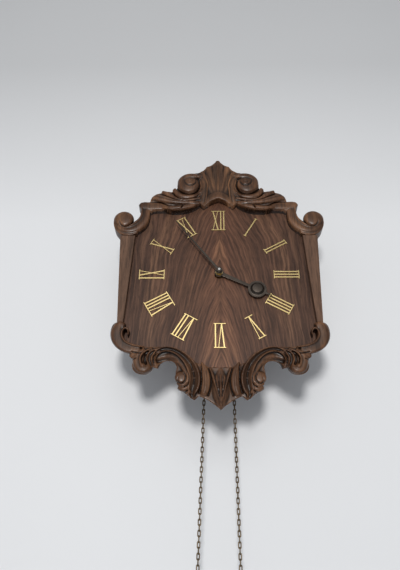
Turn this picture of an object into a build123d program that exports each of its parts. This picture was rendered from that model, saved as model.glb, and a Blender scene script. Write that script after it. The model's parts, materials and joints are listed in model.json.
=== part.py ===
from build123d import *
import os
from math import atan2, cos, degrees, pi, radians, sin

os.makedirs("parts", exist_ok=True)

# Weight-driven wall clock with a carved front. The origin is the centre of the
# hanger hole on the wall plane, +Z is up and the dial faces -Y. Millimetres.

# ---- driving dimensions -------------------------------------------------
hand_z = -80.0            # hand axis below the hanger hole
dial_y = -75.0            # face of the dial panel
panel_thick = 8.0
carving_front_y = -88.0
carving_back_y = -66.0
rebate_gap = 0.15         # glue gap between a carving's rebate and the panel
pilaster_front_y = -83.0

chapter_inner = 68.2      # numeral ring, inner and outer radius
chapter_outer = 100.0
numeral_thick = 1.0
numeral_stroke = 1.6
numeral_thin = 0.9
numeral_gap = 2.4
letter_wide = 8.0         # width of a V or an X
serif_tall = 1.0

hour_angle = 117.0        # degrees clockwise from twelve, five to four
minute_angle = 324.0

case_half = 85.0          # half width of the movement case
case_top_z = hand_z + 95.0
case_bottom_z = hand_z - 60.0
board = 6.0               # thickness of the case boards
back_board = 6.0
case_front_y = dial_y + panel_thick
stile_wide = 12.0
door_gap = 0.5
door_swing_gap = 0.9      # the free edge swings past the stile

plate_half = 29.0         # movement plates
plate_top = 50.0
plate_bottom = -46.0
plate_thick = 1.5
front_plate_y = -58.0
back_plate_y = -26.0
post_x, post_top, post_bottom = 24.0, 45.0, -41.0

great_z = -24.0           # arbor heights from the hand axis
third_angle = 120.0
escape_z = 25.18
anchor_z = 42.2

great_teeth, centre_leaves, great_module = 48, 12, 0.8
centre_teeth, third_leaves, centre_module = 72, 6, 0.4
third_teeth, escape_leaves, third_module = 72, 6, 0.36
escape_teeth, escape_tip = 36, 12.0
minute_leaves, minute_teeth, minute_module = 12, 36, 12.5 / 24
hour_leaves, hour_teeth, hour_module = 10, 40, 0.5
motion_reach = 12.5       # hand axis to the minute wheel's stud
motion_angle = -50.0

arbor_r = 1.5
pivot_r = 0.8
running = 0.05            # radial clearance of a running fit

chain_y = -35.0
chain_r = 15.75           # pitch radius of the chain on its wheel
chain_d = 4.0             # width of a link
chain_end_z = hand_z - 336.0
chain_left_end_x = -25.0
chain_right_end_x = 19.0

pendulum_y = -16.0
pendulum_long = 119.8     # length that beats 10368 times an hour
bob_r = 14.0
bob_thick = 6.0

hinge_x, hinge_y = case_half + 2.0, -6.0
hinge_heights = (-40.0, 72.0)
# -------------------------------------------------------------------------


def upright(y, x=0.0, z=0.0, turn=0.0):
    """Sketch plane facing the viewer at depth y, its centre (x, z) from the hand axis, turned clockwise."""
    along = (cos(radians(turn)), 0, -sin(radians(turn)))
    return Plane(origin=(x, y, hand_z + z), x_dir=along, z_dir=(0, -1, 0))


def save(piece, name):
    piece.part.label = name
    export_step(piece.part, f"parts/{name}.step")


def mirrored(points):
    """A closed outline from its left half, listed from the top centre down."""
    right = [(-x, z) for x, z in reversed(points) if x != 0]
    return points + right


def ring_points(radius, first, last, steps):
    """Points on an arc, angles in degrees."""
    return [
        (radius * cos(radians(first + (last - first) * k / steps)),
         radius * sin(radians(first + (last - first) * k / steps)))
        for k in range(steps + 1)
    ]


def gear_points(teeth, pitch_r, tip, root, thick=0.2, turn=0.0):
    """Outline of a gear with slim straight teeth, the first one at angle turn."""
    step = 2 * pi / teeth
    points = []
    for k in range(teeth):
        middle = radians(turn) + k * step
        low = pitch_r - root
        high = pitch_r + tip
        for radius, share in ((low, -1.6), (high, -0.7), (high, 0.7), (low, 1.6)):
            angle = middle + share * thick / 2 * step
            points.append((radius * cos(angle), radius * sin(angle)))
    return points


def window_points(inner, outer, arms, arm_wide):
    """One opening between two spokes of a wheel, centred on the first axis."""
    outer_half = 180 / arms - degrees(arm_wide / 2 / outer)
    inner_half = 180 / arms - degrees(arm_wide / 2 / inner)
    return ring_points(outer, -outer_half, outer_half, 6) + ring_points(inner, inner_half, -inner_half, 4)


def arbor_rod(x, z, pinion_at=None, pinion=None, radius=arbor_r, pivot=pivot_r):
    """An arbor between the plates, with its pivots and an optional pinion."""
    place = (x, z)
    with BuildSketch(upright(back_plate_y - 0.3, *place)) as body:
        Circle(radius)
    extrude(body.sketch, amount=back_plate_y - front_plate_y - plate_thick - 0.6)
    with BuildSketch(upright(back_plate_y + plate_thick, *place)) as pivots:
        Circle(pivot)
    extrude(pivots.sketch, amount=back_plate_y + plate_thick - front_plate_y)
    if pinion_at is not None:
        with BuildSketch(upright(pinion_at[0], *place)) as leaves:
            with BuildLine():
                Polyline(*pinion, close=True)
            make_face()
        extrude(leaves.sketch, amount=pinion_at[0] - pinion_at[1])


def toothed_wheel(x, z, back, thick, points, bore, rim, hub, arms, arm_wide=2.2):
    """A crossed-out wheel: toothed rim, hub and spokes."""
    with BuildSketch(upright(back, x, z)) as blank:
        with BuildLine():
            Polyline(*points, close=True)
        make_face()
        with PolarLocations(0, arms):
            Polygon(*window_points(hub, rim, arms, arm_wide), align=None, mode=Mode.SUBTRACT)
        Circle(bore, mode=Mode.SUBTRACT)
    extrude(blank.sketch, amount=thick)


# ---- dial panel and carved front ----------------------------------------
panel_half = [
    (0, 122), (-30, 122), (-48, 103), (-92, 100), (-100, 90), (-108, 74), (-118, 60), (-118, -78),
    (-112, -97), (-88, -105), (-62, -107), (-42, -113), (-28, -125), (0, -138),
]

with BuildPart() as dial_panel:
    with BuildSketch(upright(dial_y + panel_thick)):
        with BuildLine():
            Polyline(*mirrored(panel_half), close=True)
        make_face()
        Circle(5.5, mode=Mode.SUBTRACT)
    extrude(amount=panel_thick)
save(dial_panel, "dial_panel")


def rebate():
    """Cut the step with which a carving laps over the panel's edge."""
    with BuildSketch(upright(carving_back_y + 1)) as step:
        with BuildLine():
            Polyline(*mirrored(panel_half), close=True)
        make_face()
        offset(amount=rebate_gap, kind=Kind.INTERSECTION)
    extrude(step.sketch, amount=carving_back_y + 1 - dial_y, mode=Mode.SUBTRACT)


with BuildPart() as crest_carving:
    with BuildSketch(upright(carving_back_y)):
        with BuildLine():
            # shell, volute and the three leaf tips, down to the ear
            Line((0, 183.5), (-2, 183.5))
            ThreePointArc((-2, 183.5), (-7, 176.6), (-15.5, 172))
            ThreePointArc((-15.5, 172), (-20, 165.6), (-28, 160.5))
            Line((-28, 160.5), (-34, 160))
            ThreePointArc((-34, 160), (-50.5, 152), (-55.5, 137))
            Line((-55.5, 137), (-55, 133))
            Line((-55, 133), (-58, 134))
            ThreePointArc((-58, 134), (-61.3, 131.5), (-61, 126.5))
            Line((-61, 126.5), (-70, 128))
            Line((-70, 128), (-75.5, 129.5))
            Line((-75.5, 129.5), (-77.5, 124.5))
            ThreePointArc((-77.5, 124.5), (-87, 120.5), (-91, 109.5))
            Line((-91, 109.5), (-103, 109))
            Line((-103, 109), (-106.5, 104.5))
            # corner scroll
            ThreePointArc((-106.5, 104.5), (-102.4, 91), (-111, 77))
            Line((-111, 77), (-111.7, 78.5))
            ThreePointArc((-111.7, 78.5), (-124.5, 93.4), (-137.4, 79))
            ThreePointArc((-137.4, 79), (-135, 66.5), (-126, 57))
            ThreePointArc((-126, 57), (-119.5, 55.4), (-113, 55.5))
            ThreePointArc((-113, 55.5), (-95, 68), (-88, 91))
            # lower edge over the dial
            Line((-88, 91), (-86, 94))
            Line((-86, 94), (-64, 95))
            Line((-64, 95), (-60, 93))
            Line((-60, 93), (-50, 93))
            ThreePointArc((-50, 93), (-37, 97), (-26, 105.5))
            Line((-26, 105.5), (-19, 100))
            ThreePointArc((-19, 100), (-13, 111.5), (0, 115))
            mirror(about=Plane.YZ)
        make_face()
    extrude(amount=carving_back_y - carving_front_y)
    rebate()
save(crest_carving, "crest_carving")

with BuildPart() as base_carving:
    with BuildSketch(upright(carving_back_y)):
        with BuildLine():
            # edge against the dial, out to the curl of the hook
            Line((0, -127), (-13, -127))
            Line((-13, -127), (-19, -122))
            Line((-19, -122), (-30, -121.5))
            ThreePointArc((-30, -121.5), (-47.5, -109), (-70, -103))
            ThreePointArc((-70, -103), (-88, -102.8), (-100, -100.5))
            ThreePointArc((-100, -100.5), (-108, -96), (-112.6, -89))
            Line((-112.6, -89), (-106, -89))
            Line((-106, -89), (-106, -80))
            Line((-106, -80), (-111, -77))
            # outer edge: hook, lobes, arch and drop
            ThreePointArc((-111, -77), (-119.5, -71.3), (-127, -78))
            ThreePointArc((-127, -78), (-126, -95), (-113, -108.5))
            ThreePointArc((-113, -108.5), (-104, -112), (-99, -121))
            ThreePointArc((-99, -121), (-87, -137), (-77, -128))
            Line((-77, -128), (-71, -130))
            ThreePointArc((-71, -130), (-62, -120), (-49, -129))
            ThreePointArc((-49, -129), (-50, -142), (-46, -152))
            ThreePointArc((-46, -152), (-38, -160), (-29, -167))
            Line((-29, -167), (-24, -162))
            ThreePointArc((-24, -162), (-12, -168), (0, -178))
            mirror(about=Plane.YZ)
        make_face()
    extrude(amount=carving_back_y - carving_front_y)
    rebate()
save(base_carving, "base_carving")

for side, name in ((-1, "pilaster_left"), (1, "pilaster_right")):
    with BuildPart() as pilaster:
        with BuildSketch(upright(carving_back_y)):
            with BuildLine():
                Polyline(
                    (side * 127, 55), (side * 108, 55), (side * 114, -70.5), (side * 121, -70.5),
                    close=True,
                )
            make_face()
        extrude(amount=carving_back_y - pilaster_front_y)
        rebate()
        with BuildSketch(upright(carving_back_y)):
            with BuildLine():
                ThreePointArc((side * 138.5, 73), (side * 128, 57.7), (side * 112.7, 55.2))
                Polyline((side * 112.7, 55.2), (side * 100, 90), (side * 138.5, 73))
            make_face()
        extrude(amount=carving_back_y - carving_front_y + 1, mode=Mode.SUBTRACT)
    save(pilaster, name)


# ---- numerals -----------------------------------------------------------
def letter_strokes(letter, left):
    """Strokes of one letter as (bottom x, top x, width), from its left edge."""
    if letter == "I":
        middle = left + numeral_stroke / 2
        return [(middle, middle, numeral_stroke)], numeral_stroke
    low_edge = left + numeral_stroke / 2
    high_edge = left + letter_wide - numeral_thin / 2
    if letter == "V":
        middle = left + letter_wide / 2
        return [(middle, low_edge, numeral_stroke), (middle, high_edge, numeral_thin)], letter_wide
    return [(high_edge, low_edge, numeral_stroke), (low_edge, high_edge, numeral_thin)], letter_wide


numerals = ["I", "II", "III", "IIII", "V", "VI", "VII", "VIII", "IX", "X", "XI", "XII"]
for hour, word in enumerate(numerals, start=1):
    widths = [numeral_stroke if letter == "I" else letter_wide for letter in word]
    total = sum(widths) + numeral_gap * (len(word) - 1)
    face = upright(dial_y, turn=30.0 * hour)
    with BuildPart() as numeral:
        with BuildSketch(face):
            left = -total / 2
            for letter in word:
                strokes, wide = letter_strokes(letter, left)
                for foot, head, stroke in strokes:
                    with BuildLine():
                        Polyline(
                            (foot - stroke / 2, chapter_inner), (foot + stroke / 2, chapter_inner),
                            (head + stroke / 2, chapter_outer), (head - stroke / 2, chapter_outer),
                            close=True,
                        )
                    make_face()
                left += wide + numeral_gap
            for middle in (chapter_inner + serif_tall / 2, chapter_outer - serif_tall / 2):
                with Locations((0, middle)):
                    Rectangle(total + 2.4, serif_tall)
        extrude(amount=numeral_thick)
    save(numeral, f"numeral_{hour:02d}")

# ---- case ---------------------------------------------------------------
button_y = case_front_y + stile_wide / 2
button_z = hand_z + 16.0
case_tall = case_top_z - case_bottom_z
side_z = (case_top_z + case_bottom_z) / 2

hanger_thick = 1.5
hanger_screws = [(-10, -14), (10, -14), (-10, 14), (10, 14)]
with BuildPart() as back_board_piece:
    with BuildSketch(Plane.XZ):
        with Locations((0, side_z)):
            Rectangle(2 * case_half, case_tall)
        Circle(7, mode=Mode.SUBTRACT)
    extrude(amount=back_board)
    with BuildSketch(Plane.XZ):
        Rectangle(30.2, 40.2)
    extrude(amount=hanger_thick, mode=Mode.SUBTRACT)
    with BuildSketch(Plane.XZ.offset(hanger_thick)):
        with Locations(*hanger_screws):
            Circle(1.2)
    extrude(amount=3.5, mode=Mode.SUBTRACT)
save(back_board_piece, "back_board")

with BuildPart() as hanger_plate:
    with BuildSketch(Plane.XZ):
        RectangleRounded(30, 40, 4)
        Circle(4, mode=Mode.SUBTRACT)
        with Locations(*hanger_screws):
            Circle(1.6, mode=Mode.SUBTRACT)
    extrude(amount=hanger_thick)
save(hanger_plate, "hanger_plate")


def board_box(x_low, x_high, z_low, z_high, y_front=case_front_y, y_back=-back_board):
    """A board given by its edges."""
    with BuildSketch(Plane.XZ.offset(-y_back)) as face:
        with Locations(((x_low + x_high) / 2, (z_low + z_high) / 2)):
            Rectangle(x_high - x_low, z_high - z_low)
    extrude(face.sketch, amount=y_back - y_front)


with BuildPart() as case_top:
    board_box(-case_half, case_half, case_top_z - board, case_top_z)
save(case_top, "case_top")

with BuildPart() as case_bottom:
    board_box(-case_half, case_half, case_bottom_z, case_bottom_z + board)
    with BuildSketch(Plane.XY.offset(case_bottom_z - 1)):
        with Locations((-chain_r, chain_y), (chain_r, chain_y)):
            Rectangle(10, 10)
        with Locations((0, pendulum_y)):
            Rectangle(30, 8)
    extrude(amount=board + 2, mode=Mode.SUBTRACT)
save(case_bottom, "case_bottom")

with BuildPart() as case_side_left:
    board_box(-case_half, -case_half + board, case_bottom_z + board, case_top_z - board)
save(case_side_left, "case_side_left")

with BuildPart() as side_stile:
    board_box(
        case_half - board, case_half, case_bottom_z + board, case_top_z - board,
        y_back=case_front_y + stile_wide,
    )
    with BuildSketch(Plane.YZ.offset(case_half - 5)):
        with Locations((button_y, button_z)):
            Circle(1.5)
    extrude(amount=10, mode=Mode.SUBTRACT)
save(side_stile, "side_stile")

with BuildPart() as side_door:
    board_box(
        case_half - board, case_half, case_bottom_z + board + door_gap, case_top_z - board - door_gap,
        y_front=case_front_y + stile_wide + door_swing_gap, y_back=-back_board - door_gap,
    )
save(side_door, "side_door")

# two butt hinges: the case leaf carries the pin, the door leaf the middle knuckle
pin_r, barrel_r, leaf_thick = 1.0, 2.0, 0.9
knuckle = 5.0
with BuildPart() as hinge_case_leaves:
    for height in hinge_heights:
        centre = hand_z + height
        with BuildSketch(Plane.XY.offset(centre - 1.5 * knuckle)):
            with Locations((hinge_x, hinge_y)):
                Circle(barrel_r)
            with Locations(((case_half + case_half + leaf_thick) / 2, -3)):
                Rectangle(leaf_thick, 6)
            with Locations(((case_half + hinge_x) / 2, hinge_y + 1)):
                Rectangle(hinge_x - case_half, 2)
        extrude(amount=3 * knuckle)
        with BuildSketch(Plane.XY.offset(centre - knuckle / 2 - 0.1)):
            with Locations((hinge_x, hinge_y)):
                Rectangle(5, 5)
        extrude(amount=knuckle + 0.2, mode=Mode.SUBTRACT)
        with BuildSketch(Plane.XY.offset(centre - 1.5 * knuckle - 0.6)):
            with Locations((hinge_x, hinge_y)):
                Circle(pin_r)
        extrude(amount=3 * knuckle + 1.2)
save(hinge_case_leaves, "hinge_case_leaves")

with BuildPart() as hinge_door_leaves:
    for height in hinge_heights:
        centre = hand_z + height
        with BuildSketch(Plane.XY.offset(centre - 1.5 * knuckle)):
            with Locations(((case_half + case_half + leaf_thick) / 2, -14.3)):
                Rectangle(leaf_thick, 11.4)
        extrude(amount=3 * knuckle)
        with BuildSketch(Plane.XY.offset(centre - knuckle / 2 + 0.1)):
            with Locations((hinge_x, hinge_y)):
                Circle(barrel_r)
            with Locations(((case_half + hinge_x) / 2, -7.6)):
                Rectangle(hinge_x - case_half, 2.4)
            with Locations((hinge_x, hinge_y)):
                Circle(pin_r + running, mode=Mode.SUBTRACT)
        extrude(amount=knuckle - 0.2)
save(hinge_door_leaves, "hinge_door_leaves")

# turn button on the stile, standing upright when released
with BuildPart() as turn_button:
    with BuildSketch(Plane.YZ.offset(case_half + 0.2)):
        with Locations((button_y, button_z + 5.0)):
            SlotOverall(19, 6, rotation=90)
        with Locations((button_y, button_z)):
            Circle(1.5 + running, mode=Mode.SUBTRACT)
    extrude(amount=1.8)
save(turn_button, "turn_button")

with BuildPart() as screws:
    with BuildSketch(Plane.YZ.offset(case_half - 5)):
        with Locations((button_y, button_z)):
            Circle(1.5)
    extrude(amount=5 + 0.2 + 1.8 + 0.2)
    with BuildSketch(Plane.YZ.offset(case_half + 2.2)):
        with Locations((button_y, button_z)):
            Circle(2.8)
    extrude(amount=1.2)
    with BuildSketch(Plane.XZ.offset(hanger_thick)):
        with Locations(*hanger_screws):
            Circle(1.2)
    extrude(amount=3.5)
    with BuildSketch(Plane.XZ):
        with Locations(*hanger_screws):
            Circle(1.6)
    extrude(amount=hanger_thick)
save(screws, "wood_screws")

# ---- movement frame -----------------------------------------------------
third_x = (centre_teeth + third_leaves) / 2 * centre_module * cos(radians(third_angle))
third_z = (centre_teeth + third_leaves) / 2 * centre_module * sin(radians(third_angle))
stud_x = motion_reach * cos(radians(motion_angle))
stud_z = motion_reach * sin(radians(motion_angle))
arbors = [(0, great_z, 1.2), (third_x, third_z, pivot_r), (0, escape_z, pivot_r)]
posts = [(-post_x, post_top), (post_x, post_top), (-post_x, post_bottom), (post_x, post_bottom)]
post_thread_r = 1.5


def plate_face(centre_r, anchor_r):
    """Movement plate outline with its pivot and pillar holes."""
    with Locations((0, (plate_top + plate_bottom) / 2)):
        RectangleRounded(2 * plate_half, plate_top - plate_bottom, 3)
    for x, z, pivot in arbors:
        with Locations((x, z)):
            Circle(pivot + running, mode=Mode.SUBTRACT)
    Circle(centre_r, mode=Mode.SUBTRACT)
    with Locations((0, anchor_z)):
        Circle(anchor_r, mode=Mode.SUBTRACT)
    with Locations(*posts):
        Circle(post_thread_r, mode=Mode.SUBTRACT)


with BuildPart() as front_plate:
    with BuildSketch(upright(front_plate_y + plate_thick)):
        plate_face(arbor_r + running, pivot_r + running)
    extrude(amount=plate_thick)
    with BuildSketch(upright(front_plate_y)):
        with Locations((stud_x, stud_z)):
            Circle(1.0)
    extrude(amount=8.4)
save(front_plate, "front_plate")

with BuildPart() as back_plate:
    with BuildSketch(upright(back_plate_y + plate_thick)):
        plate_face(pivot_r + running, pivot_r + running)
    extrude(amount=plate_thick)
save(back_plate, "back_plate")

with BuildPart() as plate_pillars:
    for x, z in posts:
        place = (x, z)
        with BuildSketch(upright(back_plate_y, *place)):
            Circle(3)
        extrude(amount=back_plate_y - front_plate_y - plate_thick)
        with BuildSketch(upright(back_plate_y + plate_thick + 2.5, *place)):
            Circle(post_thread_r)
        extrude(amount=back_plate_y + plate_thick + 2.5 - front_plate_y)
        with BuildSketch(upright(front_plate_y, *place)):
            Circle(3)
        extrude(amount=front_plate_y - case_front_y)
save(plate_pillars, "plate_pillars")

with BuildPart() as pillar_nuts:
    for x, z in posts:
        with BuildSketch(upright(back_plate_y + plate_thick + 2, x, z)):
            RegularPolygon(3, 6)
            Circle(post_thread_r, mode=Mode.SUBTRACT)
        extrude(amount=2)
save(pillar_nuts, "pillar_nuts")

# ---- going train --------------------------------------------------------
great_r = great_teeth * great_module / 2
centre_pinion_r = centre_leaves * great_module / 2
centre_r = centre_teeth * centre_module / 2
third_pinion_r = third_leaves * centre_module / 2
third_r = third_teeth * third_module / 2
escape_pinion_r = escape_leaves * third_module / 2

with BuildPart() as great_arbor:
    arbor_rod(0, great_z, radius=2.0, pivot=1.2)
save(great_arbor, "great_arbor")

great_back = -41.6
click_angle = 35.0
click_reach = 15.0
with BuildPart() as great_wheel:
    toothed_wheel(
        0, great_z, great_back, 1.8,
        gear_points(great_teeth, great_r, 0.6, 0.9, turn=90), 2.0, great_r - 2.6, 6.0, 4, 4.0,
    )
    with BuildSketch(upright(great_back, 0, great_z)):
        with PolarLocations(click_reach, 1, start_angle=click_angle):
            Circle(2.4)
    extrude(amount=1.8)
    with BuildSketch(upright(great_back + 2.4, 0, great_z)):
        with PolarLocations(click_reach, 1, start_angle=click_angle):
            Circle(1.0)
    extrude(amount=2.4)
save(great_wheel, "great_wheel")

ratchet_back = -38.8
ratchet_teeth, ratchet_tip, ratchet_root = 12, 10.5, 9.0
pockets = 9
flange_r = 17.5
groove = 5.2
with BuildPart() as chain_wheel:
    with BuildSketch(upright(ratchet_back, 0, great_z)):
        with BuildLine():
            Polyline(*[
                (r * cos(radians(a)), r * sin(radians(a)))
                for k in range(ratchet_teeth)
                for r, a in ((ratchet_root, 30 * k), (ratchet_tip, 30 * k + 28.5))
            ], close=True)
        make_face()
    extrude(amount=2.3)
    for back in (chain_y + groove / 2 + 1.2, chain_y - groove / 2):
        with BuildSketch(upright(back, 0, great_z)):
            Circle(flange_r)
        extrude(amount=1.2)
    with BuildSketch(upright(chain_y + groove / 2, 0, great_z)):
        with BuildLine():
            Polyline(*[
                (r * cos(radians(a)), r * sin(radians(a)))
                for k in range(pockets)
                for r, a in (
                    (13.4, 40 * k - 5), (13.4, 40 * k + 5),
                    (12.0, 40 * k + 12), (12.0, 40 * k + 28),
                )
            ], close=True)
        make_face()
    extrude(amount=groove)
    with BuildSketch(upright(back_plate_y, 0, great_z)):
        Circle(2.0 + running)
    extrude(amount=20, mode=Mode.SUBTRACT)
save(chain_wheel, "chain_wheel")

with BuildPart() as click_lever:
    pivot_x = click_reach * cos(radians(click_angle))
    pivot_z = click_reach * sin(radians(click_angle))
    with BuildSketch(upright(great_back + 2.2, 0, great_z)):
        with Locations((pivot_x, pivot_z)):
            Circle(2.2)
        with BuildLine():
            Polyline(
                (pivot_x - 2.2, pivot_z - 0.2), (ratchet_root + 0.2, 0.15), (ratchet_tip + 0.2, -0.12),
                (pivot_x + 1.9, pivot_z - 1.2), close=True,
            )
        make_face()
        with Locations((pivot_x, pivot_z)):
            Circle(1.0 + running, mode=Mode.SUBTRACT)
    extrude(amount=2.0)
save(click_lever, "click")

with BuildPart() as centre_arbor:
    arbor_rod(
        0, 0, (-38.8, -43.8),
        gear_points(centre_leaves, centre_pinion_r, 0.55, 0.9, turn=-90 + 15),
    )
    with BuildSketch(upright(front_plate_y + 4)):
        Circle(arbor_r)
    extrude(amount=front_plate_y + 4 + 88.6)
save(centre_arbor, "centre_arbor")

centre_back = -49.0
with BuildPart() as centre_wheel:
    toothed_wheel(
        0, 0, centre_back, 1.2,
        gear_points(centre_teeth, centre_r, 0.22, 0.5, turn=third_angle), arbor_r, centre_r - 1.8, 4.0, 4,
    )
save(centre_wheel, "centre_wheel")

escape_from_third = degrees(atan2(escape_z - third_z, -third_x))
with BuildPart() as third_arbor:
    arbor_rod(
        third_x, third_z, (-48.0, -51.4),
        gear_points(third_leaves, third_pinion_r, 0.22, 0.3, thick=0.16, turn=third_angle + 180 + 30),
        radius=0.85,
    )
save(third_arbor, "third_arbor")

third_back = -44.9
with BuildPart() as third_wheel:
    toothed_wheel(
        third_x, third_z, third_back, 1.2,
        gear_points(third_teeth, third_r, 0.2, 0.45, turn=escape_from_third),
        0.85, third_r - 1.8, 3.2, 4, 2.0,
    )
save(third_wheel, "third_wheel")

with BuildPart() as escape_arbor:
    arbor_rod(
        0, escape_z, (-44.2, -47.4),
        gear_points(
            escape_leaves, escape_pinion_r, 0.2, 0.25,
            thick=0.16, turn=escape_from_third + 180 + 30,
        ),
        radius=0.8,
    )
save(escape_arbor, "escape_arbor")

escape_back = -32.0
with BuildPart() as escape_wheel:
    with BuildSketch(upright(escape_back, 0, escape_z)):
        with BuildLine():
            Polyline(*[
                (r * cos(radians(a)), r * sin(radians(a)))
                for k in range(escape_teeth)
                for r, a in (
                    (escape_tip - 1.5, 10 * k), (escape_tip, 10 * k + 1.0),
                    (escape_tip - 0.2, 10 * k + 1.6),
                )
            ], close=True)
        make_face()
        with PolarLocations(0, 4):
            Polygon(*window_points(3.0, escape_tip - 3.2, 4, 1.6), align=None, mode=Mode.SUBTRACT)
        Circle(0.8, mode=Mode.SUBTRACT)
    extrude(amount=1.0)
save(escape_wheel, "escape_wheel")

# ---- anchor and pendulum ------------------------------------------------
anchor_back = -31.2
with BuildPart() as anchor:
    with BuildSketch(upright(anchor_back, 0, anchor_z)):
        Circle(2.6)
        for side in (-1, 1):
            with BuildLine():
                Polyline(
                    (0, 1.6), (side * 10.2, -3.8), (side * 12.0, -9.0), (side * 10.8, -9.2),
                    (side * 8.8, -4.8), (0, -1.6), close=True,
                )
            make_face()
        Circle(1.2, mode=Mode.SUBTRACT)
    extrude(amount=2.6)
save(anchor, "anchor")

crutch_bottom = 20.0
rod_r = 0.9
with BuildPart() as anchor_arbor:
    place = (0, anchor_z)
    with BuildSketch(upright(back_plate_y - 0.3, *place)):
        Circle(1.2)
    extrude(amount=back_plate_y - 0.3 - (front_plate_y + plate_thick + 0.3))
    with BuildSketch(upright(-19.2, *place)):
        Circle(pivot_r)
    extrude(amount=-19.2 - front_plate_y)
    with BuildSketch(upright(-19.2)):
        with Locations((0, (anchor_z + crutch_bottom) / 2)):
            Rectangle(1.6, anchor_z - crutch_bottom + 1.6)
    extrude(amount=1.2)
    with BuildSketch(upright(-13.6)):
        for side in (-1, 1):
            with Locations((side * (rod_r + 0.06 + 0.5), crutch_bottom)):
                Rectangle(1.0, 2.0)
    extrude(amount=6.8)
    with BuildSketch(upright(-18.2)):
        with Locations((0, crutch_bottom)):
            Rectangle(2 * (rod_r + 0.06 + 1.0), 2.0)
    extrude(amount=1.2)
save(anchor_arbor, "anchor_arbor")

with BuildPart() as suspension_cock:
    with BuildSketch(upright(-13.2)):
        with Locations((0, 46.2)):
            Rectangle(7, 4.2)
        with Locations((0, 44.6)):
            Rectangle(0.9, 3.2, mode=Mode.SUBTRACT)
    extrude(amount=-13.2 - back_plate_y - plate_thick)
save(suspension_cock, "suspension_cock")

bob_z = anchor_z - pendulum_long
with BuildPart() as suspension_spring:
    with BuildSketch(upright(pendulum_y + 1.6)):
        with Locations((0, (45.6 + 30.0) / 2)):
            Rectangle(0.16, 45.6 - 30.0)
    extrude(amount=3.2)
save(suspension_spring, "suspension_spring")

with BuildPart() as pendulum_rod:
    with BuildSketch(Plane.XY.offset(hand_z + bob_z - bob_r - 6)):
        with Locations((0, pendulum_y)):
            Circle(rod_r)
    extrude(amount=33.0 - bob_z + bob_r + 6)
    with BuildSketch(upright(pendulum_y + 1.7)):
        with Locations((0, 32.0)):
            Rectangle(0.2, 4.2)
    extrude(amount=3.4, mode=Mode.SUBTRACT)
save(pendulum_rod, "pendulum_rod")

with BuildPart() as pendulum_bob:
    with BuildSketch(upright(pendulum_y + bob_thick / 2)):
        with Locations((0, bob_z)):
            Circle(bob_r)
    extrude(amount=bob_thick)
    fillet(pendulum_bob.edges().filter_by(GeomType.CIRCLE), 2.2)
    with BuildSketch(Plane.XY.offset(hand_z + bob_z - bob_r - 1)):
        with Locations((0, pendulum_y)):
            Circle(rod_r)
    extrude(amount=2 * bob_r + 2, mode=Mode.SUBTRACT)
save(pendulum_bob, "pendulum_bob")

with BuildPart() as rating_nut:
    with BuildSketch(Plane.XY.offset(hand_z + bob_z - bob_r - 3)):
        with Locations((0, pendulum_y)):
            RegularPolygon(3.2, 8)
            Circle(rod_r, mode=Mode.SUBTRACT)
    extrude(amount=2.9)
save(rating_nut, "rating_nut")

# ---- motion work and hands ----------------------------------------------
cannon_r = 2.5
pipe_r = 4.5
cannon_pitch = minute_leaves * minute_module / 2
minute_pitch = minute_teeth * minute_module / 2
hour_pinion_pitch = hour_leaves * hour_module / 2
hour_pitch = hour_teeth * hour_module / 2
minute_hand_y = -84.6

with BuildPart() as cannon_pinion:
    with BuildSketch(upright(-59.4)):
        with BuildLine():
            Polyline(*gear_points(minute_leaves, cannon_pitch, 0.35, 0.5, turn=motion_angle), close=True)
        make_face()
        Circle(arbor_r, mode=Mode.SUBTRACT)
    extrude(amount=2.6)
    with BuildSketch(upright(-62.0)):
        Circle(cannon_r)
        Circle(arbor_r, mode=Mode.SUBTRACT)
    extrude(amount=-62.0 - minute_hand_y)
save(cannon_pinion, "cannon_pinion")

with BuildPart() as minute_wheel:
    with BuildSketch(upright(-60.0, stud_x, stud_z)):
        with BuildLine():
            Polyline(
                *gear_points(minute_teeth, minute_pitch, 0.35, 0.55, turn=motion_angle + 180 + 5),
                close=True,
            )
        make_face()
        with PolarLocations(0, 4):
            Polygon(*window_points(3.6, minute_pitch - 1.9, 4, 1.8), align=None, mode=Mode.SUBTRACT)
    extrude(amount=1.4)
    with BuildSketch(upright(-61.4, stud_x, stud_z)):
        with BuildLine():
            Polyline(
                *gear_points(hour_leaves, hour_pinion_pitch, 0.35, 0.5, turn=motion_angle + 180),
                close=True,
            )
        make_face()
    extrude(amount=4.2)
    with BuildSketch(upright(-58.0, stud_x, stud_z)):
        Circle(1.0 + running)
    extrude(amount=9, mode=Mode.SUBTRACT)
save(minute_wheel, "minute_wheel")

hour_hand_y = -79.0
with BuildPart() as hour_wheel:
    with BuildSketch(upright(-63.4)):
        with BuildLine():
            Polyline(*gear_points(hour_teeth, hour_pitch, 0.35, 0.55, turn=motion_angle + 4.5), close=True)
        make_face()
        Circle(cannon_r + running, mode=Mode.SUBTRACT)
    extrude(amount=1.5)
    with BuildSketch(upright(-64.9)):
        Circle(pipe_r)
        Circle(cannon_r + running, mode=Mode.SUBTRACT)
    extrude(amount=-64.9 - hour_hand_y + 1.4)
save(hour_wheel, "hour_wheel")

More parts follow.
